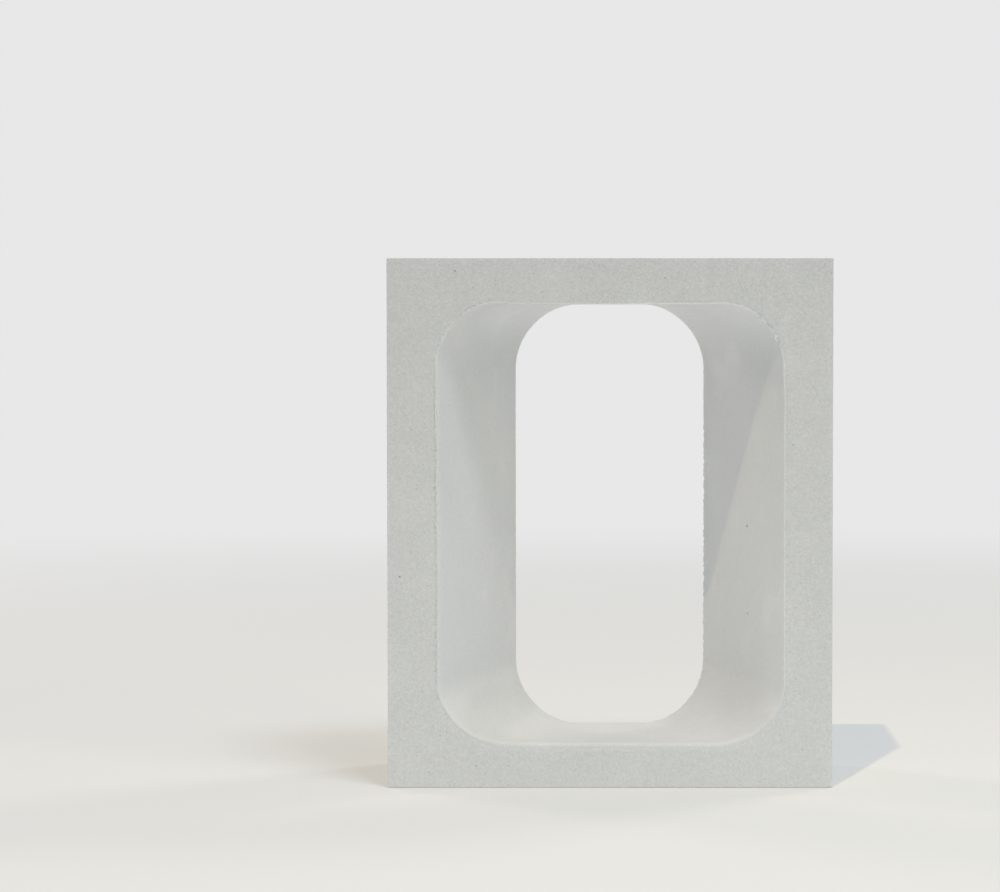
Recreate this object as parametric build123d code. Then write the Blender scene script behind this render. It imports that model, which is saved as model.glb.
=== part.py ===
from build123d import *
import os

# Precast concrete screen block: one casting with a flared opening right through it.
#
# Seen from the front, the block is an upright rectangle with a wide rounded opening.
# The opening keeps nearly its full height all the way back, while its two side walls
# slope in to a throat a little over half as wide at the back face.
#
# Frame: millimetres, +X to the right seen from the front, +Y from the front face to the
# back face, +Z up. The origin is the centre of the underside, where the block stands.

# The block.
block_width = 252.0
block_height = 300.0
block_depth = 100.0

# The rim of the opening, in the front face: the margins of concrete round it.
stile_width = 27.75  # left and right of the rim
top_rail = 25.0  # above the rim
bottom_rail = 23.5  # below the rim
rim_corner_radius = 36.0

# The throat of the opening, in the back face.
throat_width = 113.0
throat_draft = 1.0  # how far the top and bottom walls each close in by the back
throat_corner_radius = 38.5

# The arrises, rounded by the mould and by stripping the core.
outer_arris_radius = 1.0
rim_arris_radius = 1.2
throat_arris_radius = 0.8

# Where the faces lie.
front_y = -block_depth / 2
back_y = block_depth / 2
rim_low_z = bottom_rail
rim_high_z = block_height - top_rail

# The most that a corner's radius may be, as a share of half the opening's shorter side.
roundest_corner = 0.95


def rounded_opening(depth_y, width, low_z, high_z, corner_radius):
    """The opening's outline where it crosses the plane at depth_y.

    Its corners are no rounder than its shorter side leaves room for.
    """
    height = high_z - low_z
    radius = min(corner_radius, roundest_corner * min(width, height) / 2)
    facing_front = Plane(
        origin=(0, depth_y, (low_z + high_z) / 2), x_dir=(1, 0, 0), z_dir=(0, -1, 0)
    )
    return facing_front * RectangleRounded(width, height, radius)


def cast_body():
    """The solid rectangular block, with its twelve outer arrises rounded."""
    body = Pos(0, 0, block_height / 2) * Box(block_width, block_depth, block_height)
    return fillet(body.edges(), outer_arris_radius)


def flared_core():
    """The space that the mould's core keeps open, from the rim back to the throat.

    Ruled walls join the two outlines, so each side wall is one flat slope, and each
    corner sweeps smoothly from the rim's radius to the throat's.
    """
    rim = rounded_opening(
        front_y, block_width - 2 * stile_width, rim_low_z, rim_high_z, rim_corner_radius
    )
    throat = rounded_opening(
        back_y,
        throat_width,
        rim_low_z + throat_draft,
        rim_high_z - throat_draft,
        throat_corner_radius,
    )
    return loft([rim, throat], ruled=True)


def opening_edges(block, depth_y):
    """The loop of edges where the opening meets the face at depth_y."""
    face = block.faces().filter_by(Axis.Y).sort_by(lambda f: abs(f.center().Y - depth_y))[0]
    return face.inner_wires()[0].edges()


def screen_block():
    """The finished casting."""
    block = cast_body() - flared_core()
    block = fillet(opening_edges(block, front_y), rim_arris_radius)
    return fillet(opening_edges(block, back_y), throat_arris_radius)


os.makedirs("parts", exist_ok=True)
export_step(screen_block(), "parts/screen_block.step")
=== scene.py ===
# %% [markdown]
# # A precast concrete screen block
#
# Blocks like this are laid edge to edge in an open wall that lets light and air through.
# Each one is a single casting: a stiff mix of white cement and fine sand is packed into a
# steel mould round a tapered core, struck off level, and stripped while it is still green.
# That history is what we model here. The front face is sandy, because it was struck off.
# The walls of the opening are smooth, because the core pressed them. The thin rims are
# ragged, because the core dragged at them on its way out.
#
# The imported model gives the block's place and size, and everything below is built round it.

# %% Load the frame
import math
import random
from collections import namedtuple

import bpy
import numpy as np
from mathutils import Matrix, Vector


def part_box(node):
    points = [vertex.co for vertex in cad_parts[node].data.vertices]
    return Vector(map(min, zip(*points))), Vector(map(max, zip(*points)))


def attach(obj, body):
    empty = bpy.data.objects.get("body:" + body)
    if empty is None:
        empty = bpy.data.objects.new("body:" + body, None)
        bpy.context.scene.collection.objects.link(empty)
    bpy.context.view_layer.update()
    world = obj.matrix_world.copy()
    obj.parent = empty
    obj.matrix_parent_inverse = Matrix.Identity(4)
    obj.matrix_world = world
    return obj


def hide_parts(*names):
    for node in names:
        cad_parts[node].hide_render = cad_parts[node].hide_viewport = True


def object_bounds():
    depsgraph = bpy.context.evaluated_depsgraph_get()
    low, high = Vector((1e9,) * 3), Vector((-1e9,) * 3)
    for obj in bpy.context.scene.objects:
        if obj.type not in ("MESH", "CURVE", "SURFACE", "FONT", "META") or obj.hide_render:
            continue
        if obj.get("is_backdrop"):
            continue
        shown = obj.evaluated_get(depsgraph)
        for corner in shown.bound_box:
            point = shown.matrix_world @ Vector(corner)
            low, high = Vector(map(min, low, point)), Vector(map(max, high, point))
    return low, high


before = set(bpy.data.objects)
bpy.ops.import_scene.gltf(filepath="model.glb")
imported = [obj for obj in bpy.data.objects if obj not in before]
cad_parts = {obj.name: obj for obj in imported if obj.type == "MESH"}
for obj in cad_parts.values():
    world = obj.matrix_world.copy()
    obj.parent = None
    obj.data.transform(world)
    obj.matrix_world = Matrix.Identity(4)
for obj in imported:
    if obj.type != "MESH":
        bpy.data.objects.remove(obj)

MM = 0.001
cad_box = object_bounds()
block_low, block_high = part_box("screen_block")
block_size = block_high - block_low
print("packed block, in mm:", [round(side / MM, 2) for side in block_size])

# %% [markdown]
# ## The camera
#
# The block is seen from straight in front with a long lens, so its upright edges stay
# nearly parallel. The eye is level with the head of the opening and looks down by a little
# over two degrees, which is why the floor of the opening shows and its head hardly does. We
# could place the camera by eye, but the picture's own lines give it: the edges of the
# opening's walls run back to one vanishing point, at the height of the eye. The block
# stands right of the middle of the frame, and a sideways shift of the lens does that
# without turning the camera.

# %% Place the camera
picture_width = 1000  # pixels
middle_of_block = 610  # the pixel column that the block's middle stands on
focal_length_in_pixels = 3119
eye_to_face = 1.758  # metres, as is the height
eye_height = 0.2689
tilt_down = math.radians(2.438)
sensor_width = 36.0  # mm

bpy.ops.object.camera_add(
    location=(0, block_low.y - eye_to_face, eye_height),
    rotation=(math.pi / 2 - tilt_down, 0, 0),
)
camera = bpy.context.object
camera.name = "camera"
camera.data.sensor_width = sensor_width
camera.data.lens = focal_length_in_pixels * sensor_width / picture_width
camera.data.shift_x = (picture_width / 2 - middle_of_block) / picture_width
bpy.context.scene.camera = camera
bpy.context.scene.view_settings.view_transform = "Standard"
print("lens, in mm:", round(camera.data.lens, 1), "shift:", round(camera.data.shift_x, 3))

# %% [markdown]
# ## One way to write shader maths
#
# Node trees are quicker to read as arithmetic. The class below wraps one output socket, and
# an expression on wrapped sockets adds the Math nodes that it needs. Everything that isn't
# plain arithmetic goes through one method, `Tree.add`, which sets a node's options first
# and then its sockets. Colours and vectors keep to the Mix and Vector Math nodes, because a
# Math node would turn a colour grey.

# %% Wrap one socket
class Wire:
    """An output socket that takes part in arithmetic."""

    def __init__(self, tree, socket):
        self.tree = tree
        self.socket = socket

    def math(self, operation, *values):
        settings = {"operation": operation}
        return self.tree.add("ShaderNodeMath", settings, dict(enumerate(values)))

    def __add__(self, other):
        return self.math("ADD", self, other)

    def __sub__(self, other):
        return self.math("SUBTRACT", self, other)

    def __rsub__(self, other):
        return self.math("SUBTRACT", other, self)

    def __mul__(self, other):
        return self.math("MULTIPLY", self, other)

    def __truediv__(self, other):
        return self.math("DIVIDE", self, other)

    __radd__ = __add__
    __rmul__ = __mul__

    def ramp(self, low, high):
        """0 below low and 1 above high, with a smooth step between."""
        settings = {"interpolation_type": "SMOOTHSTEP"}
        inputs = {"Value": self, "From Min": low, "From Max": high}
        return self.tree.add("ShaderNodeMapRange", settings, inputs)


print("a wrapped socket can be added, subtracted, multiplied and ramped")

# %% Wrap a node tree
class Tree:
    """A node tree that is written from top to bottom."""

    def __init__(self, owner):
        owner.use_nodes = True
        self.nodes = owner.node_tree.nodes
        self.links = owner.node_tree.links
        self.nodes.clear()

    def add(self, kind, settings=None, inputs=None, output=0):
        """A new node, its settings made first and then its sockets. Returns an output."""
        node = self.nodes.new(kind)
        for name, value in (settings or {}).items():
            setattr(node, name, value)
        for name, value in (inputs or {}).items():
            if isinstance(value, Wire):
                self.links.new(value.socket, node.inputs[name])
            else:
                node.inputs[name].default_value = value
        return Wire(self, node.outputs[output] if len(node.outputs) else None)

    def tint(self, factor, first, second):
        """Two colours mixed by a factor."""
        inputs = {0: factor, 6: first, 7: second}
        return self.add("ShaderNodeMix", {"data_type": "RGBA"}, inputs, output=2)

    def scaled(self, vector, factor):
        """A colour or vector made brighter or longer by a factor."""
        inputs = {0: vector, "Scale": factor}
        return self.add("ShaderNodeVectorMath", {"operation": "SCALE"}, inputs)


print("a tree adds a node, mixes two colours and scales one")

# %% [markdown]
# ## Light
#
# A pale matt thing needs little: a room that glows evenly, and a few lamps that model it.
# The block's own shadows say where the lamps hang. The head of the opening throws one crisp
# slope of shade down the right wall, so a small lamp hangs high in front, a little to the
# left. The shade on the left wall has a soft edge and starts higher up, so a wide panel
# hangs high at the right. The walls never go dark, so there is light from low at the right
# and from behind as well.
#
# A lamp is easiest to think of by its level: the share of its own colour that it adds to a
# matt surface which faces it. Watts follow from the level and the distance. All the levels
# on a face add up to a plain total, at which a colour renders about as it is written.
#
# The camera doesn't see the room light itself, but the pale backdrop in its place.

# %% Make the room light
backdrop_colour = (0.80, 0.805, 0.80, 1)
backdrop_strength = 1.0
room_colour = (0.92, 1.02, 1.09, 1)
room_strength = 0.48

studio = bpy.data.worlds.new("studio")
bpy.context.scene.world = studio
sky = Tree(studio)
camera_ray = sky.add("ShaderNodeLightPath", output="Is Camera Ray")
glossy_ray = sky.add("ShaderNodeLightPath", output="Is Glossy Ray")
clear_ray = sky.add("ShaderNodeLightPath", output="Is Transmission Ray")
in_gloss_or_glass = camera_ray.math("MAXIMUM", glossy_ray, clear_ray)
is_seen = camera_ray.math("MAXIMUM", camera_ray, in_gloss_or_glass)
inputs = {"Color": room_colour, "Strength": room_strength}
room = sky.add("ShaderNodeBackground", None, inputs)
inputs = {"Color": backdrop_colour, "Strength": backdrop_strength}
backdrop = sky.add("ShaderNodeBackground", None, inputs)
around = sky.add("ShaderNodeMixShader", None, {0: is_seen, 1: room, 2: backdrop})
sky.add("ShaderNodeOutputWorld", None, {"Surface": around})
print("room light:", room_strength)

# %% Hang the lamps
block_middle = (block_low + block_high) / 2


def hang_lamp(name, turn, rise, distance, size, level, colour):
    """A square lamp that faces the block's middle.

    It hangs turned by turn degrees from straight in front, to the right, and rise degrees
    up. Its distance and size are in metres. A lamp of 1 W that is 1 m away adds 1 / pi
    squared of its colour to a matt surface which faces it.
    """
    turn, rise = math.radians(turn), math.radians(rise)
    across, up = math.cos(rise), math.sin(rise)
    towards_lamp = Vector((math.sin(turn) * across, -math.cos(turn) * across, up))
    bpy.ops.object.light_add(type="AREA", location=block_middle + towards_lamp * distance)
    lamp = bpy.context.object
    lamp.name = name
    lamp.data.size = size
    lamp.data.color = colour
    lamp.data.energy = level * math.pi**2 * distance**2
    lamp.rotation_euler = towards_lamp.to_track_quat("Z", "Y").to_euler()
    print(name, "watts:", round(lamp.data.energy, 1))


bulb = {"distance": 4.0, "size": 0.05}
panel = {"distance": 2.5, "size": 0.6}
hang_lamp("high_lamp", turn=-14, rise=60.6, level=0.205, colour=(1.27, 1.0, 0.62), **bulb)
hang_lamp("upper_panel", turn=25, rise=62, level=0.215, colour=(0.92, 1.0, 1.12), **panel)
hang_lamp("right_panel", turn=50, rise=25, level=0.078, colour=(1.15, 1.0, 0.75), **panel)
hang_lamp("back_right", turn=130, rise=45, level=0.112, colour=(1.12, 1.0, 0.84), **panel)
hang_lamp("back_left", turn=-130, rise=25, level=0.109, colour=(1.22, 0.93, 0.84), **panel)

# %% [markdown]
# ## Ground
#
# The ground is a wide, pale, matt disc that takes the block's shadow. It also glows a
# little towards everything but the camera, as a white floor does that runs on into bright
# daylight, and so it lights the walls of the opening from below and in front. Far from the
# block it turns into the colour of the backdrop, for the camera alone, so that no horizon
# cuts across the picture.

# %% Make the ground
ground_colour = (0.8, 0.8, 0.79, 1)
ground_radius = 8.0  # metres
ground_glow = 0.32
fade_starts = 0.45  # metres from the block's middle
fade_ends = 2.2

bpy.ops.object.select_all(action="DESELECT")
bpy.ops.mesh.primitive_circle_add(vertices=96, radius=ground_radius, fill_type="NGON")
ground = bpy.context.object
ground.name = "ground"
paint = bpy.data.materials.new("ground")
top = Tree(paint)
place = top.add("ShaderNodeTexCoord", output="Object")
far = top.add("ShaderNodeVectorMath", {"operation": "LENGTH"}, {0: place}, output="Value")
is_seen = top.add("ShaderNodeLightPath", output="Is Camera Ray")
matt = top.add("ShaderNodeBsdfDiffuse", None, {"Color": ground_colour})
inputs = {"Color": ground_colour, "Strength": ground_glow}
glow = top.add("ShaderNodeEmission", None, inputs)
glowing = top.add("ShaderNodeAddShader", None, {0: matt, 1: glow})
near_by = top.add("ShaderNodeMixShader", None, {0: is_seen, 1: glowing, 2: matt})
inputs = {"Color": backdrop_colour, "Strength": backdrop_strength}
far_off = top.add("ShaderNodeEmission", None, inputs)
fade = far.ramp(fade_starts, fade_ends) * is_seen
whole = top.add("ShaderNodeMixShader", None, {0: fade, 1: near_by, 2: far_off})
top.add("ShaderNodeOutputMaterial", None, {"Surface": whole})
ground.data.materials.append(paint)
ground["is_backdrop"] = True
print("ground radius, in m:", ground_radius)

# %% [markdown]
# ## The casting
#
# The block is a thick frame, and its surface closes on itself like a ring: from the front
# face over the rim of the opening, back along the wall to the throat, over the throat's
# edge, out across the back face, round the outer edges and forward to the front again.
# Cutting a hole in a cube with a boolean would be quick, but it leaves no points along the
# edges for the wear. So we lay one outline at each station of that round trip and bridge
# each to the next. An outline near the rim or the throat has twice as many points as one on
# a plain stretch, because that is where the concrete is ragged.
#
# The profile of the edges is measured first. A core that is drawn out of green concrete
# leaves a thin lip of cement standing round the opening, and the sandy face beside it lies
# a third of a millimetre lower. The outer edges come from the steel sides of the mould and
# are nearly sharp.

# %% Sizes of the opening and its edges
stile_width = 27.75 * MM
top_rail = 25.0 * MM
bottom_rail = 23.5 * MM
rim_corner = 36.0 * MM
throat_half_width = 56.5 * MM
throat_draft = 1.0 * MM
throat_corner = 38.5 * MM
outer_arris = 0.7 * MM
face_sink = 0.3 * MM  # how far the sandy faces lie below the lips
sharpest_corner = 0.1 * MM

front = block_low.y
back = block_high.y
half_width = block_high.x
depth = block_size.y
rim_shape = (half_width - stile_width, bottom_rail, block_high.z - top_rail, rim_corner)
throat_shape = (
    throat_half_width,
    bottom_rail + throat_draft,
    block_high.z - top_rail - throat_draft,
    throat_corner,
)
outer_shape = (half_width, block_low.z, block_high.z, outer_arris)


def opening_at(share):
    """The opening's shape at a share of the depth, from 0 in front to 1 at the back.

    A shape is a half width, a low edge, a high edge and a corner radius.
    """
    return tuple(a + (b - a) * share for a, b in zip(rim_shape, throat_shape))


def grown(shape, by):
    """A shape with its outline moved outwards."""
    half, low, high, corner = shape
    return half + by, low - by, high + by, max(corner + by, sharpest_corner)


print("rim:", [round(value / MM, 2) for value in rim_shape])
print("throat:", [round(value / MM, 2) for value in throat_shape])

# %% Profiles of the edges, in mm
# From the sandy face over the lip to the wall: how far out, and how far down.
rim_profile = [
    (1.3, 0.3),
    (1.15, 0.25),
    (1.02, 0.08),
    (0.86, 0.0),
    (0.6, 0.05),
    (0.34, 0.2),
    (0.14, 0.5),
    (0.03, 0.9),
    (0.0, 1.3),
]
throat_profile = [
    (0.95, 0.3),
    (0.84, 0.24),
    (0.74, 0.06),
    (0.6, 0.0),
    (0.36, 0.07),
    (0.14, 0.3),
    (0.02, 0.65),
    (0.0, 1.0),
]
# From a face to a side of the block: how far in, and how far down.
edge_profile = [(0.7, 0.0), (0.35, 0.06), (0.1, 0.28), (0.0, 0.7)]
print("points in the profiles:", len(rim_profile), len(throat_profile), len(edge_profile))

# %% A helper that lays a station
near = 4.0 * MM  # how far the fine outlines reach from an edge of the opening
beyond = 6.0 * MM  # where the plain ones take over
outside_lip = 1.9 * MM
beside_lip = 2.0 * MM
inside_edge = 3.0 * MM
fine, plain = 2, 1  # how many points an outline has, for each one of a plain outline

# rows is how many rows of faces lead from this station to the next.
Station = namedtuple("Station", "shape y fineness is_outer rows")
stations = []


def lay(shape, y, fineness, rows, is_outer=False):
    """Note an outline at its place along Y, as the next of the round trip."""
    stations.append(Station(shape, y, fineness, is_outer, rows))


print("a fine outline has this many times the points of a plain one:", fine)

# %% Lay the stations from the front face to the throat
lay(grown(rim_shape, near), front + face_sink, fine, rows=4)
lay(grown(rim_shape, outside_lip), front + face_sink, fine, rows=2)
for out, down in rim_profile:
    shape = grown(opening_at(down * MM / depth), out * MM)
    lay(shape, front + down * MM, fine, rows=1)
lay(opening_at(beside_lip / depth), front + beside_lip, fine, rows=3)
lay(opening_at(near / depth), front + near, fine, rows=1)
lay(opening_at(beyond / depth), front + beyond, plain, rows=10)
lay(opening_at(1 - beyond / depth), back - beyond, plain, rows=1)
lay(opening_at(1 - near / depth), back - near, fine, rows=4)
for out, down in reversed(throat_profile):
    shape = grown(opening_at(1 - down * MM / depth), out * MM)
    lay(shape, back - down * MM, fine, rows=1)
print("stations so far:", len(stations))

# %% Lay the stations from the throat round the outside
lay(grown(throat_shape, beside_lip), back - face_sink, fine, rows=2)
lay(grown(throat_shape, near), back - face_sink, fine, rows=1)
lay(grown(throat_shape, beyond), back - face_sink, plain, rows=6)
lay(grown(outer_shape, -inside_edge), back - face_sink, plain, rows=2, is_outer=True)
for inset, down in edge_profile:
    shape = grown(outer_shape, -inset * MM)
    lay(shape, back - face_sink - down * MM, plain, rows=1, is_outer=True)
lay(outer_shape, back - near, plain, rows=6, is_outer=True)
lay(outer_shape, front + near, plain, rows=2, is_outer=True)
for inset, down in reversed(edge_profile):
    shape = grown(outer_shape, -inset * MM)
    lay(shape, front + face_sink + down * MM, plain, rows=1, is_outer=True)
lay(grown(outer_shape, -inside_edge), front + face_sink, plain, rows=5, is_outer=True)
lay(grown(rim_shape, beyond), front + face_sink, plain, rows=1)
print("stations:", len(stations), "rows:", sum(station.rows for station in stations))

# %% [markdown]
# ### Drawing an outline
#
# Each outline is drawn as by hand: a plane at its size and place, its four corners bevelled
# round, its face deleted and its straight sides subdivided. An outer outline has hardly any
# corner, so the points that it saves there go to its sides, and its count stays the same.
#
# Blender decides which way round to pair two loops from the direction between them. Loops
# in one plane give it nothing to go by, and the bridge can come out crossed. So the
# outlines are first drawn as rungs of a ladder, a few millimetres apart along Y, bridged
# there in one go, and only then slid along Y to their own stations.

# %% Helpers that select
def only(piece):
    """Select this piece and nothing else."""
    bpy.ops.object.select_all(action="DESELECT")
    piece.select_set(True)
    bpy.context.view_layer.objects.active = piece


def pick(piece, kind, chosen):
    """Enter edit mode with just these vertices or edges selected.

    kind is VERT or EDGE, and chosen is a list of flags.
    """
    only(piece)
    bpy.ops.object.mode_set(mode="EDIT")
    bpy.ops.mesh.select_mode(type=kind)
    bpy.ops.mesh.select_all(action="DESELECT")
    bpy.ops.object.mode_set(mode="OBJECT")
    elements = piece.data.vertices if kind == "VERT" else piece.data.edges
    elements.foreach_set("select", chosen)
    bpy.ops.object.mode_set(mode="EDIT")


print("a pick takes vertices or edges by a list of flags")

# %% Helpers that measure
def points_of(piece):
    """The piece's vertices as rows of x, y, z."""
    flat = np.empty(len(piece.data.vertices) * 3)
    piece.data.vertices.foreach_get("co", flat)
    return flat.reshape(-1, 3)


def ends_of_edges(piece):
    """The two vertex numbers of each edge."""
    flat = np.empty(len(piece.data.edges) * 2, dtype=int)
    piece.data.edges.foreach_get("vertices", flat)
    return flat.reshape(-1, 2)


def station_of(piece):
    """Each vertex's station number. A vertex between two stations has a fraction."""
    marks = np.empty(len(piece.data.vertices))
    piece.data.attributes["station"].data.foreach_get("value", marks)
    return marks


print("a mesh is measured through arrays, which is much faster than a loop")

# %% A helper that divides the straight sides
side_at_least = 10 * MM  # a bevelled corner's edges are shorter than this
hair = 0.001 * MM  # what is nearer than this is in the same place
first_cuts = 3


def divide_sides(piece, axis, parts):
    """Cut the two straight sides along an axis into that many parts each."""
    points = points_of(piece)
    ends = ends_of_edges(piece)
    run = np.abs(points[ends[:, 0]] - points[ends[:, 1]])
    pick(piece, "EDGE", (run[:, axis] > side_at_least) & (run[:, 2 - axis] < hair))
    bpy.ops.mesh.subdivide(number_cuts=first_cuts)
    bpy.ops.mesh.subdivide(number_cuts=parts // (first_cuts + 1) - 1)
    bpy.ops.object.mode_set(mode="OBJECT")


print("a straight side is longer than, in mm:", round(side_at_least / MM, 1))

# %% Draw the outlines
corner_points = 48
outer_corner_points = 4
across_points = 100
upright_points = 144
rung = 5 * MM


def draw_outline(number, station):
    """One closed loop of edges on its own rung, marked with its station number."""
    half, low, high, corner = station.shape
    bpy.ops.object.select_all(action="DESELECT")
    middle = (0, number * rung, (low + high) / 2)
    bpy.ops.mesh.primitive_plane_add(size=1, location=middle, rotation=(math.pi / 2, 0, 0))
    loop = bpy.context.object
    loop.scale = (2 * half, high - low, 1)
    bpy.ops.object.transform_apply(location=True, rotation=True, scale=True)
    bpy.ops.object.mode_set(mode="EDIT")
    bpy.ops.mesh.select_all(action="SELECT")
    steps = station.fineness * (outer_corner_points if station.is_outer else corner_points)
    bpy.ops.mesh.bevel(offset=corner, segments=steps, affect="VERTICES")
    bpy.ops.mesh.select_all(action="SELECT")
    bpy.ops.mesh.delete(type="ONLY_FACE")
    bpy.ops.object.mode_set(mode="OBJECT")
    saved = corner_points - outer_corner_points if station.is_outer else 0
    divide_sides(loop, 0, station.fineness * (across_points + saved))
    divide_sides(loop, 2, station.fineness * (upright_points + saved))
    marks = loop.data.attributes.new("station", "FLOAT", "POINT")
    marks.data.foreach_set("value", np.full(len(loop.data.vertices), float(number)))
    return loop


loops = [draw_outline(number, station) for number, station in enumerate(stations)]
print("outlines drawn:", len(loops), "points in a plain one:", len(loops[-1].data.vertices))

# %% Join the outlines and bridge them
bpy.ops.object.select_all(action="DESELECT")
for loop in loops:
    loop.select_set(True)
bpy.context.view_layer.objects.active = loops[0]
bpy.ops.object.join()
block = loops[0]
block.name = "cast_block"
bpy.ops.object.mode_set(mode="EDIT")
bpy.ops.mesh.select_mode(type="EDGE")
bpy.ops.mesh.select_all(action="SELECT")
bpy.ops.mesh.bridge_edge_loops(type="CLOSED")
bpy.ops.object.mode_set(mode="OBJECT")
print("faces between the rungs:", len(block.data.polygons))

# %% Slide each outline to its station
for number, station in enumerate(stations):
    pick(block, "VERT", station_of(block) == number)
    bpy.ops.transform.translate(value=(0, station.y - number * rung, 0))
    bpy.ops.object.mode_set(mode="OBJECT")
print("depth, in mm:", round(block.dimensions.y / MM, 3))

# %% Cut the bridges into rows
for number, station in enumerate(stations):
    if station.rows == 1:
        continue
    following = (number + 1) % len(stations)
    marks = station_of(block)[ends_of_edges(block)]
    across = (marks == (number, following)).all(1) | (marks == (following, number)).all(1)
    pick(block, "EDGE", across)
    bpy.ops.mesh.subdivide(number_cuts=station.rows - 1)
    bpy.ops.object.mode_set(mode="OBJECT")
print("faces after cutting:", len(block.data.polygons))

# %% Close the surface and turn its faces outwards
only(block)
bpy.ops.object.mode_set(mode="EDIT")
bpy.ops.mesh.select_all(action="SELECT")
bpy.ops.mesh.remove_doubles(threshold=hair)
bpy.ops.mesh.normals_make_consistent(inside=False)
bpy.ops.mesh.select_all(action="DESELECT")
bpy.ops.mesh.select_mode(type="VERT")
bpy.ops.mesh.select_non_manifold()
bpy.ops.object.mode_set(mode="OBJECT")
open_points = sum(vertex.select for vertex in block.data.vertices)
print("points on open or doubled edges:", open_points)

# %% [markdown]
# ## Bug holes and chips
#
# Air that is trapped against a mould leaves round holes in the surface, called bug holes.
# They are bites taken out of the block, so a boolean suits them. One lump is modelled, with
# an uneven skin so that no bite is a perfect bowl, and then copied to each place at its own
# size and turn. The places come from a seeded draw, so that they are the same on each run.
# A boolean keeps its surface closed only if no two bites overlap, so each new one keeps
# clear of all the earlier ones.

# %% Model one lump
bpy.ops.object.select_all(action="DESELECT")
bpy.ops.mesh.primitive_ico_sphere_add(subdivisions=2, radius=1.0)
lump = bpy.context.object
lump.name = "lump"
uneven = bpy.data.textures.new("uneven", "CLOUDS")
uneven.noise_scale = 0.9
dent = lump.modifiers.new("dent", "DISPLACE")
dent.texture = uneven
dent.mid_level = 0.5
dent.strength = 0.5
bpy.ops.object.modifier_apply(modifier=dent.name)
print("faces of one lump:", len(lump.data.polygons))

# %% Measure the gap from a rounded outline
def gap_from(shape, x, z):
    """How far a point lies outside a rounded outline. Inside it, this is negative."""
    half, low, high, corner = shape
    across = np.abs(x) - (half - corner)
    upright = np.abs(z - (low + high) / 2) - ((high - low) / 2 - corner)
    outside = np.hypot(np.maximum(across, 0), np.maximum(upright, 0))
    return outside + np.minimum(np.maximum(across, upright), 0) - corner


middle_gap = gap_from(rim_shape, 0, block_middle.z)
print("the block's middle is inside the rim by, in mm:", round(-middle_gap / MM, 2))

# %% Helpers that note a bite
draw = random.Random(31)
rarity = 4  # the higher this is, the fewer large bites there are
keep_clear = 1.5  # how many times the two radii lie between two bites
bites = []  # each is a centre and a radius


def take(place, radius):
    """Note a bite, unless it would run into an earlier one."""
    for other, other_radius in bites:
        if math.dist(place, other) < keep_clear * (radius + other_radius):
            return False
    bites.append((place, radius))
    return True


def radius_between(smallest, largest):
    """Small ones are common and large ones rare."""
    return smallest + (largest - smallest) * draw.random() ** rarity


print("times the two radii between two bites:", keep_clear)

# %% Bug holes in a face
clear_of_lip = 3 * MM
clear_of_edge = 2 * MM


def bite_face(count, shape, y, smallest, largest):
    """Bug holes in the front or back face, clear of the lip and of the outer edge."""
    while count:
        x = draw.uniform(-half_width, half_width)
        z = draw.uniform(block_low.z, block_high.z)
        radius = radius_between(smallest, largest)
        clear = gap_from(shape, x, z) > clear_of_lip + radius
        clear = clear and gap_from(outer_shape, x, z) < -clear_of_edge - radius
        if clear and take((x, y, z), radius):
            count -= 1


print("a bite lies this far outside the lip, in mm:", round(clear_of_lip / MM, 1))

# %% Take the bites in the front and the back
# These show in the front face, each by its x, its z and its radius, in mm.
in_face = (-118.9, 120, 0.5), (-87.2, 292.6, 0.5), (-75.8, 12.5, 0.45), (31.1, 288.7, 0.4)
for across, height, radius in in_face:
    take((across * MM, front + face_sink, height * MM), radius * MM)
# These show in the right wall, each by its share of the depth, its z and its radius.
in_right_wall = (0.454, 145.7, 0.95), (0.446, 95.1, 0.7)
for share, height, radius in in_right_wall:
    take((opening_at(share)[0], front + share * depth, height * MM), radius * MM)
# The rest are strewn.
bite_face(14, rim_shape, front + face_sink, smallest=0.2 * MM, largest=0.4 * MM)
bite_face(110, throat_shape, back - face_sink, smallest=0.3 * MM, largest=1.3 * MM)
print("bites in the front and the back:", len(bites))

# %% Bug holes in the sides, the top and the underside
side_margin = 5 * MM
share_in_sides = 0.55  # the rest are in the top and the underside


def bite_side(count, smallest, largest):
    """Bug holes in the two sides, the top and the underside."""
    while count:
        y = draw.uniform(front + side_margin, back - side_margin)
        along = draw.uniform(-1, 1)
        sign = draw.choice((-1, 1))
        end = block_high.z if sign > 0 else block_low.z
        place = (along * (half_width - side_margin), y, end)
        if draw.random() < share_in_sides:
            middle = block_high.z / 2
            place = (sign * half_width, y, middle + along * (middle - side_margin))
        if take(place, radius_between(smallest, largest)):
            count -= 1


bite_side(130, smallest=0.35 * MM, largest=1.8 * MM)
print("bites:", len(bites))

# %% Bug holes in the walls of the opening
wall_margin = 0.1  # as a share of the depth


def bite_wall(count, smallest, largest):
    """Bug holes in the flat parts of the opening's two side walls."""
    while count:
        share = draw.uniform(wall_margin, 1 - wall_margin)
        half, low, high, corner = opening_at(share)
        z = draw.uniform(low + corner, high - corner)
        place = (draw.choice((-1, 1)) * half, front + share * depth, z)
        if take(place, radius_between(smallest, largest)):
            count -= 1


bite_wall(10, smallest=0.2 * MM, largest=0.4 * MM)
print("bites:", len(bites))

# %% Copy the lump to each place
full_turn = 6.28  # radians
bpy.ops.object.select_all(action="DESELECT")
for place, radius in bites:
    bite = lump.copy()
    bite.data = lump.data.copy()
    bite.location = place
    bite.scale = (radius, radius, radius)
    bite.rotation_euler = [draw.uniform(0, full_turn) for axis in range(3)]
    bpy.context.collection.objects.link(bite)
    bite.select_set(True)
    bpy.context.view_layer.objects.active = bite
bpy.ops.object.join()
cutter = bpy.context.object
print("faces of the cutter:", len(cutter.data.polygons))

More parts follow.
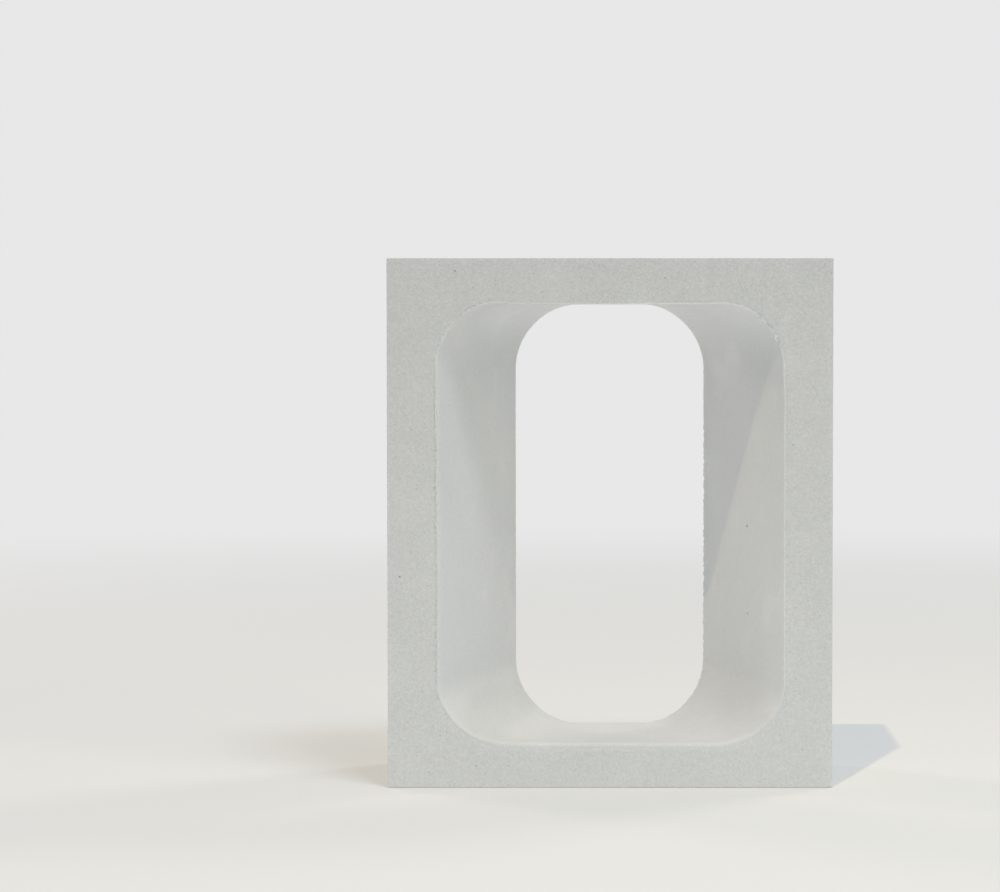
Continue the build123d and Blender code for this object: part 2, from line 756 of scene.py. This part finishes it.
# %% Cut the bites
cut = block.modifiers.new("bites", "BOOLEAN")
cut.operation = "DIFFERENCE"
cut.solver = "EXACT"
cut.object = cutter
only(block)
bpy.ops.object.modifier_apply(modifier=cut.name)
for spare in (cutter, lump):
    bpy.data.objects.remove(spare)
print("faces after the bites:", len(block.data.polygons))

# %% [markdown]
# ## Wear
#
# No edge of a casting is as straight as its mould. The thin lip round the opening breaks
# first, the outer edges lose a grain of sand here and there, and a hand feels long, shallow
# waves in the faces. Sculpting could do all this, but it couldn't be said again in words.
# So each kind of wear is one Displace modifier: it pushes the surface along its normal or
# along an axis, by a cloudy noise or evenly, as far as a vertex group lets it. The groups
# are worked out from the block's own shape, by how far each point is from an edge.

# %% Measure how far each point is from the edges
points = points_of(block)
x, y, z = points.T
behind_face = y - front
rim_gap = gap_from(rim_shape, x, z)
throat_gap = gap_from(throat_shape, x, z)
rim_distance = np.hypot(rim_gap, behind_face)
throat_distance = np.hypot(throat_gap, back - y)
to_side = half_width - np.abs(x)
to_end = np.minimum(z - block_low.z, block_high.z - z)
to_face = np.minimum(y - front, back - y) - face_sink
two_nearest = np.sort(np.stack([to_side, to_end, to_face]), axis=0)
edge_distance = np.hypot(two_nearest[0], two_nearest[1])
print("points that the fine outlines laid by the rim:", int((rim_distance < near).sum()))

# %% Helpers that weigh the points
least_weight = 0.001


def fall(distance, full, none):
    """1 up to one distance and 0 past another, both in mm, with a smooth step between."""
    t = np.clip((none - distance / MM) / (none - full), 0, 1)
    return t * t * (3 - 2 * t)


def spot(at_x, at_z, reach):
    """1 near a place on the face and 0 beyond its reach, all in mm."""
    return fall(np.hypot(x - at_x * MM, z - at_z * MM), 0.5 * reach, reach)


def weigh(name, weights):
    """A vertex group with a weight for each point."""
    group = block.vertex_groups.new(name=name)
    for number in np.flatnonzero(weights > least_weight):
        group.add([int(number)], float(weights[number]), "REPLACE")
    return name


print("points within 30 mm of a lower corner:", int((spot(-84, 31, 30) > 0).sum()))

# %% A helper that pushes the surface
def push(name, weights, along, reach, grain=None, contrast=1.0, intensity=1.0):
    """Move the surface along its normal or an axis, evenly or by a cloudy noise.

    The reach and the size of the grain are in mm, and a high contrast makes separate lumps
    of the noise. Returns how far each point moved.
    """
    displace = block.modifiers.new(name, "DISPLACE")
    if grain:
        cloud = bpy.data.textures.new(name, "CLOUDS")
        cloud.noise_scale = grain * MM
        cloud.noise_depth = 1
        cloud.contrast = contrast
        cloud.intensity = intensity
        displace.texture = cloud
        displace.texture_coords = "LOCAL"
    displace.direction = along
    displace.mid_level = 0.0
    displace.strength = reach * MM
    if weights is not None:
        displace.vertex_group = weigh(name, weights)
    before = points_of(block)
    only(block)
    bpy.ops.object.modifier_apply(modifier=displace.name)
    moved = np.linalg.norm(points_of(block) - before, axis=1)
    print(name, "moved the surface by up to, in mm:", round(moved.max() / MM, 3))
    return moved


push("waves", None, "NORMAL", -0.15, grain=35)

# %% [markdown]
# ### Round the rim
#
# The rim isn't equally sharp all round. At the foot and on the left the core took the edge
# with it and left it soft. At the foot the wall also climbs a little just behind the rim,
# where the mix slumped against the core. Elsewhere only the lip's crest is low.

# %% Round the rim
near_rim = fall(rim_distance, 0.9, 2.2)
crest = near_rim * fall(behind_face, 0.0, 0.3)
foot = fall(z, 38, 62)
left = fall(np.abs(z - 149 * MM), 82, 102) * (x < 0)
wide_rim = fall(rim_distance, 1.4, 3.2)
wall_side = wide_rim * fall(rim_gap, 0.4, 1.0)
lifted = fall(rim_gap, 0.2, 1.3) * fall(behind_face, 3, 15)

push("rounded_foot", wide_rim * foot, "NORMAL", -0.45)
push("rounded_left", wall_side * left, "NORMAL", -0.3)
push("lifted_foot", lifted * foot, "Z", 1.2)
push("low_lip", crest * (1 - left) * (1 - 0.5 * foot), "Y", 0.26)

# %% [markdown]
# ### Break the lip
#
# The lip is beaded on the left, where it stuck to the core and tore, and a row of pits runs
# just outside it there. Near the two upper corners whole crumbs are gone. A strong contrast
# turns the cloudy noise into separate lumps, so that it breaks rather than ripples.

# %% Break the lip
pitted = fall(np.abs(rim_gap - 1.65 * MM), 0.2, 0.55) * fall(behind_face, 0.4, 0.8)
pitted = pitted * np.maximum(left, 0.7 * spot(-92, 40, 26))
broken_rim = np.maximum(spot(88, 258, 18), 0.8 * spot(-80, 268, 14))
broken_rim = np.maximum(broken_rim, 0.6 * spot(-93, 254, 12))
ragged_rim = fall(rim_distance, 1.5, 3.0) * broken_rim

push("rim_wear", near_rim * (1 - 0.6 * foot), "NORMAL", -0.26, grain=1.3, contrast=2.2)
push("beads", crest * left, "NORMAL", -0.4, grain=2.2, contrast=3.5)
pits = push("pits", pitted, "Y", 0.28, grain=1.2, contrast=4.0)
push("rim_chips", near_rim * broken_rim, "NORMAL", -0.5, grain=2.2, contrast=3.5)
push("ragged_right", ragged_rim * (x > 0), "X", -1.1, grain=2.6, contrast=4.0)
push("ragged_left", ragged_rim * (x < 0), "X", 0.9, grain=2.8, contrast=4.0)

# %% [markdown]
# ### Drag the rim
#
# A core that is drawn from a green casting drags the rim inwards by a millimetre or two,
# most of all on the left and at the lower corners. It happens over a wide band, so the
# weights fade slowly down the wall, or a step would show in it.

# %% Drag the rim
dragged = fall(rim_gap, 1.8, 4.5) * fall(behind_face, 4, 40)
head = fall(block_high.z - z, 32, 58)
lower_corners = 0.8 * spot(-84, 31, 27) + 0.6 * spot(82, 30, 22)
upper_corners = 0.7 * spot(-81, 270, 30) + 0.35 * spot(81, 270, 30)
right_corners = lower_corners + 0.9 * spot(98, 243, 16)
heights = (20, 60, 110, 240, 262, 276)
lean = np.interp(z / MM, heights, (0.55, 0.62, 0.71, 0.36, 0.2, 0.0)) * fall(x, -60, -30)
slump = np.interp(x / MM, (-70, 80), (0.45, 0.27)) * foot

push("dragged_left", dragged * lean, "X", 2.1)
push("dragged_right", dragged * right_corners * (x > 0), "X", -0.6)
push("dragged_foot", dragged * (slump + 0.55 * lower_corners), "Z", 2.1)
push("dragged_head", dragged * head * (1 - upper_corners), "Z", -1.1)

# %% [markdown]
# ### Wear the throat and the outer edges
#
# At the throat the core is narrowest and the mix stands in a little further than its model
# says. It is drawn in from both sides, by pushes that fade out short of the middle, or they
# would cross there. The throat's edge is ragged on the right and at the low end, where the
# core came loose last. The outer edges were held by the steel sides of the mould and lose
# little.

# %% Wear the throat and the outer edges
drawn_in = fall(throat_distance, 4, 30) * fall(throat_gap, 0.5, 3)
near_throat = fall(throat_distance, 0.7, 2.2)
right_throat = fall(np.abs(z - 133 * MM), 60, 80) * (x > 0)
low_throat = fall(np.abs(x - 12 * MM), 40, 55) * (z < 60 * MM)
ragged_throat = near_throat * np.maximum(right_throat, low_throat)

chips = {"grain": 2.0, "contrast": 3.5, "intensity": 0.9}
push("narrow_right", drawn_in * fall(-x, -45, -20), "X", -1.3)
push("narrow_left", drawn_in * fall(x, -45, -20), "X", 0.8)
push("throat_wear", near_throat, "NORMAL", -0.2, grain=1.3, contrast=2.0)
push("chips_in_depth", ragged_throat, "Y", -0.5, **chips)
push("chips_at_right", near_throat * right_throat, "X", 0.5, **chips)
push("chips_at_foot", near_throat * low_throat, "Z", -0.5, **chips)
push("edge_wear", fall(edge_distance, 0.6, 1.6), "NORMAL", -0.12, grain=2.0, contrast=2.0)

# A little smoothing opens the folds that the pushes left in the tightest edges.
tight = 0.3  # the least weight at which an edge is smoothed
for near_edge, factor in ((near_rim * broken_rim, 0.25), (near_throat, 0.5)):
    pick(block, "VERT", near_edge > tight)
    bpy.ops.mesh.vertices_smooth(factor=factor, repeat=1)
    bpy.ops.object.mode_set(mode="OBJECT")

# %% [markdown]
# ### Strike it off
#
# A mould is a hard limit: nothing of the casting stands out past it. The pushes don't know
# that, and a few points by the throat have slid back past the face. A scale of 0 across a
# plane flattens them onto it, as the straight board does that strikes the mix off level.
# Last, the shading is smoothed across all but the sharper edges.

# %% Strike the casting off level
speck = 0.0001 * MM  # less than this is not past a plane
sharp_edge = math.radians(25)


def strike_off(axis, level, sign):
    """Flatten the points that lie past a plane onto it. Returns how many there were."""
    past = sign * (points_of(block)[:, axis] - level) > speck
    if past.any():
        flat = [1.0, 1.0, 1.0]
        flat[axis] = 0.0
        on_plane = [0.0, 0.0, 0.0]
        on_plane[axis] = level
        pick(block, "VERT", past)
        bpy.ops.transform.resize(value=flat, center_override=on_plane)
        bpy.ops.object.mode_set(mode="OBJECT")
    return int(past.sum())


for axis in range(3):
    counts = strike_off(axis, block_low[axis], -1), strike_off(axis, block_high[axis], 1)
    print("points struck off along", "XYZ"[axis], counts)
only(block)
bpy.ops.object.shade_smooth_by_angle(angle=sharp_edge)

# %% [markdown]
# ## Marks for the finish
#
# The finish changes with how each part of the surface was made, so the material has to be
# told what it is looking at. We write that down as a number at each point: how sandy the
# surface is, how smoothly it was pressed, how worn, and where shade is painted in. Painted
# shade goes into the bug holes, the pits and the lower corners of the opening, and a paler
# strip of painted light goes with the wear onto the floor of the opening behind the rim.
# Painting these by hand would do as well, but the distances are already measured, and they
# follow the edges exactly.

# %% Mark the surface for its finish
def mark(name, values):
    """A number at each point, which the material reads."""
    layer = block.data.attributes.new(name, "FLOAT", "POINT")
    layer.data.foreach_set("value", values.astype(np.float32))
    print(name, "mean:", round(float(values.mean()), 3))


near_opening = np.minimum(rim_distance, throat_distance)
skin_reach = 0.5 + 0.7 * np.maximum(left, foot)
skin = fall(near_opening, skin_reach, skin_reach + 0.5)
on_face = fall(to_face, 0.05, 0.6) * (1 - skin)
opening_gap = gap_from(opening_at(np.clip(behind_face / depth, 0, 1)), x, z)
on_wall = fall(opening_gap, 0.3, 1.5) * (1 - on_face)
mark("sandy", on_face)
mark("pressed", on_wall)

# %% Mark the wear, the painted light and the painted shade
worn_edges = fall(np.minimum(near_opening, edge_distance), 0.5, 2.0)
# Painted light: a paler strip on the floor of the opening, just behind the rim.
painted_light_at_foot = 1.4 * on_wall * fall(z, 26, 30) * fall(behind_face, 4, 16)
below_skin = np.minimum(np.minimum(to_side, to_end), np.minimum(to_face, opening_gap))
# Painted shade: darker inside the bug holes and the pits.
painted_shade_in_bites = 1 - fall(below_skin, 0.05, 0.35)
painted_shade_in_pits = 0.5 - 0.5 * fall(pits, 0.1, 0.3)
# Painted shade: darker in the lower corners of the opening, most at the left.
painted_shade_left_corner = 0.3 * np.maximum(spot(-70, 36, 20), spot(-54, 40, 14))
painted_shade_in_corners = on_wall * (painted_shade_left_corner + 0.17 * spot(77, 37, 20))
# The first mark holds the wear with the painted light at the foot, the second only painted
# shade.
mark("wear_and_painted_light", np.maximum(worn_edges * (0.3 + 0.7 * left), painted_light_at_foot))
mark("painted_shade", np.maximum(np.maximum(painted_shade_in_bites, painted_shade_in_pits), painted_shade_in_corners))

# %% [markdown]
# ## The concrete
#
# Dry white concrete is matt and nearly grey, and it is lively only from close by. The
# struck face shows its sand: grains under a millimetre, some darker and some paler, which
# also stand up a little and catch the light, and pinholes between them, darkened with
# painted shade. The pressed walls have a skin of cement over the sand, so they are calmer,
# with faint streaks along the way the core was drawn. They are paler too, partly for the
# skin and partly as painted light inside the opening. Over both lie soft blotches and a
# bloom of lime. The block is painted a little paler low down, and palest at the head of the
# opening, as painted light from below.
#
# All of it is one number, the tone, by which the base colour is made brighter or darker.
# That keeps the concrete one grey, where mixing colours for each effect could let it drift.
# The noise reads the object's own coordinates in metres, so a grain is the same size on
# every face.

# %% Start the mix
coat = bpy.data.materials.new("concrete")
mix = Tree(coat)
place = mix.add("ShaderNodeTexCoord", output="Object")


def marked(name):
    """One of the numbers that were marked at each point."""
    return mix.add("ShaderNodeAttribute", {"attribute_name": name}, output="Fac")


def cloudy(size, detail=2.0, at=place):
    """Soft noise about zero, in lumps of about that size in mm."""
    inputs = {"Vector": at, "Scale": 1 / (size * MM), "Detail": detail}
    return mix.add("ShaderNodeTexNoise", None, inputs) - 0.5


def grains(size, output):
    """Cells of about that size in mm, as grains of sand lie."""
    inputs = {"Vector": place, "Scale": 1 / (size * MM)}
    return mix.add("ShaderNodeTexVoronoi", None, inputs, output)


sandy = marked("sandy")
pressed = marked("pressed")
wear_and_painted_light = marked("wear_and_painted_light")
painted_shade = marked("painted_shade")
print("nodes so far:", len(mix.nodes))

# %% Choose the colours
sand_colour = (0.556, 0.567, 0.564, 1)
side_colour = (0.6, 0.607, 0.592, 1)
# The walls are paler partly for their cement skin, and partly as painted light inside the
# opening.
wall_colour_with_painted_light = (0.639, 0.648, 0.646, 1)
base = mix.tint(pressed, mix.tint(sandy, side_colour, sand_colour), wall_colour_with_painted_light)
print("sandy face:", sand_colour[:3], "pressed wall:", wall_colour_with_painted_light[:3])

# %% Say how much each cause changes the tone
# Each of these is a share of the tone.
# Painted light from below: paler low down, more so on the sandy faces.
painted_paling_low_down, painted_paling_low_down_of_sand = 0.1, 0.07
streaking = 0.03
blotching = 0.06
clouding, clouding_of_sand = 0.02, 0.015
liming = 0.05
# Painted light from below on the head of the opening.
painted_paling_of_head = 0.085
mottling = 0.06
difference_of_grains = 0.11
difference_of_grit = 0.165
grit_of_walls = 0.4  # as a share of the sandy face's
# Paler with wear, and with the painted light at the foot of the rim.
paling_by_wear_and_painted_light = 0.03
# Painted shade in the bug holes, the pits and the lower corners of the opening.
painted_shade_in_hollows = 0.2
# Painted shade in the pinholes.
painted_shade_in_pinholes = 0.17
print("causes of a lighter or darker tone are set")

# %% Vary the tone over the whole block
sideways = mix.add("ShaderNodeSeparateXYZ", None, {0: place}, "X")
inward = mix.add("ShaderNodeSeparateXYZ", None, {0: place}, "Y")
rise = mix.add("ShaderNodeSeparateXYZ", None, {0: place}, "Z")
# Painted light from below: the block is paler low down.
painted_light_low_down = (0.5 - rise / block_size.z) * (painted_paling_low_down + sandy * painted_paling_low_down_of_sand)
along_the_draw = {0: place, 1: (1.0, 0.05, 1.0)}
drawn = mix.add("ShaderNodeVectorMath", {"operation": "MULTIPLY"}, along_the_draw)
streaks = cloudy(2.5, detail=3.0, at=drawn) * (1 - sandy) * streaking
clouds = cloudy(9, detail=3.0) * (clouding + sandy * clouding_of_sand)
blotches = cloudy(55) * blotching + clouds
bloom = cloudy(28, detail=4.0).ramp(0.06, 0.3) * liming
# Painted light from below: the walls at the head of the opening are paler.
off_front_left = (inward + sideways * 0.35).ramp(-65 * MM, -30 * MM)
at_the_head = rise.ramp(245 * MM, 272 * MM)
painted_light_at_head = at_the_head * off_front_left * pressed * painted_paling_of_head
broad_tone = painted_light_low_down + streaks + blotches + bloom + painted_light_at_head
print("nodes so far:", len(mix.nodes))

# %% Vary the tone from grain to grain
grain_size = 0.8  # mm
pinhole_spacing = 3.2  # mm


def any_number(colour):
    """One channel of a colour that differs from cell to cell."""
    return mix.add("ShaderNodeSeparateColor", None, {0: colour})


shade_of_grain = any_number(grains(grain_size, "Color"))
grit = (shade_of_grain - 0.5) * difference_of_grains + cloudy(1.4) * difference_of_grit
grit = grit * (grit_of_walls + (1 - grit_of_walls) * sandy)
mottle = cloudy(3) * pressed * mottling
how_deep = any_number(grains(pinhole_spacing, "Color")).ramp(0.35, 1.0)
from_middle = grains(pinhole_spacing, "Distance")
pinholes = (1 - from_middle.ramp(0.08, 0.2)) * sandy * how_deep
# Wear and painted light make the tone paler; painted shade darkens the hollows and pinholes.
tone = 1 + broad_tone + mottle + grit + wear_and_painted_light * paling_by_wear_and_painted_light
tone = tone * (1 - painted_shade * painted_shade_in_hollows) * (1 - pinholes * painted_shade_in_pinholes)
colour = mix.scaled(base, tone)
print("nodes so far:", len(mix.nodes))

# %% Raise the grains and finish the mix
relief_height = 0.11 * MM
relief_of_walls = 0.2  # as a share of the sandy face's

how_coarse = relief_of_walls + (1 - relief_of_walls) * sandy
relief = (shade_of_grain * 0.5 + cloudy(1.1, detail=3.0)) * how_coarse - pinholes * 0.5
bump = mix.add("ShaderNodeBump", None, {"Height": relief, "Distance": relief_height})
roughness = 0.92 + cloudy(6) * 0.1
inputs = {"Base Color": colour, "Roughness": roughness, "Normal": bump}
inputs["Specular IOR Level"] = 0.3
body = mix.add("ShaderNodeBsdfPrincipled", None, inputs)
mix.add("ShaderNodeOutputMaterial", None, {"Surface": body})
block.data.materials.clear()
block.data.materials.append(coat)
print("nodes in the mix:", len(mix.nodes))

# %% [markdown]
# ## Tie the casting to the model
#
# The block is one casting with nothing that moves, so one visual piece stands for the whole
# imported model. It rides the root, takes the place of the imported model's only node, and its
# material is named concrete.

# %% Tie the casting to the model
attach(block, "root")
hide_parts("screen_block")
print(block.name, "stands in for screen_block")

# %% [markdown]
# ## Compare the sizes and finish
# ## Write down both sizes
# The finished block may not stand out past the imported one, or parts that are set against it
# would run into its skin. Both boxes are written down side by side, so that they can be
# compared without opening the scene.

# %% Write both boxes down
looks_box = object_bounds()
sizes = {"cad": cad_box, "looks": looks_box}
sizes = {name: [list(corner) for corner in box] for name, box in sizes.items()}
print(sizes)
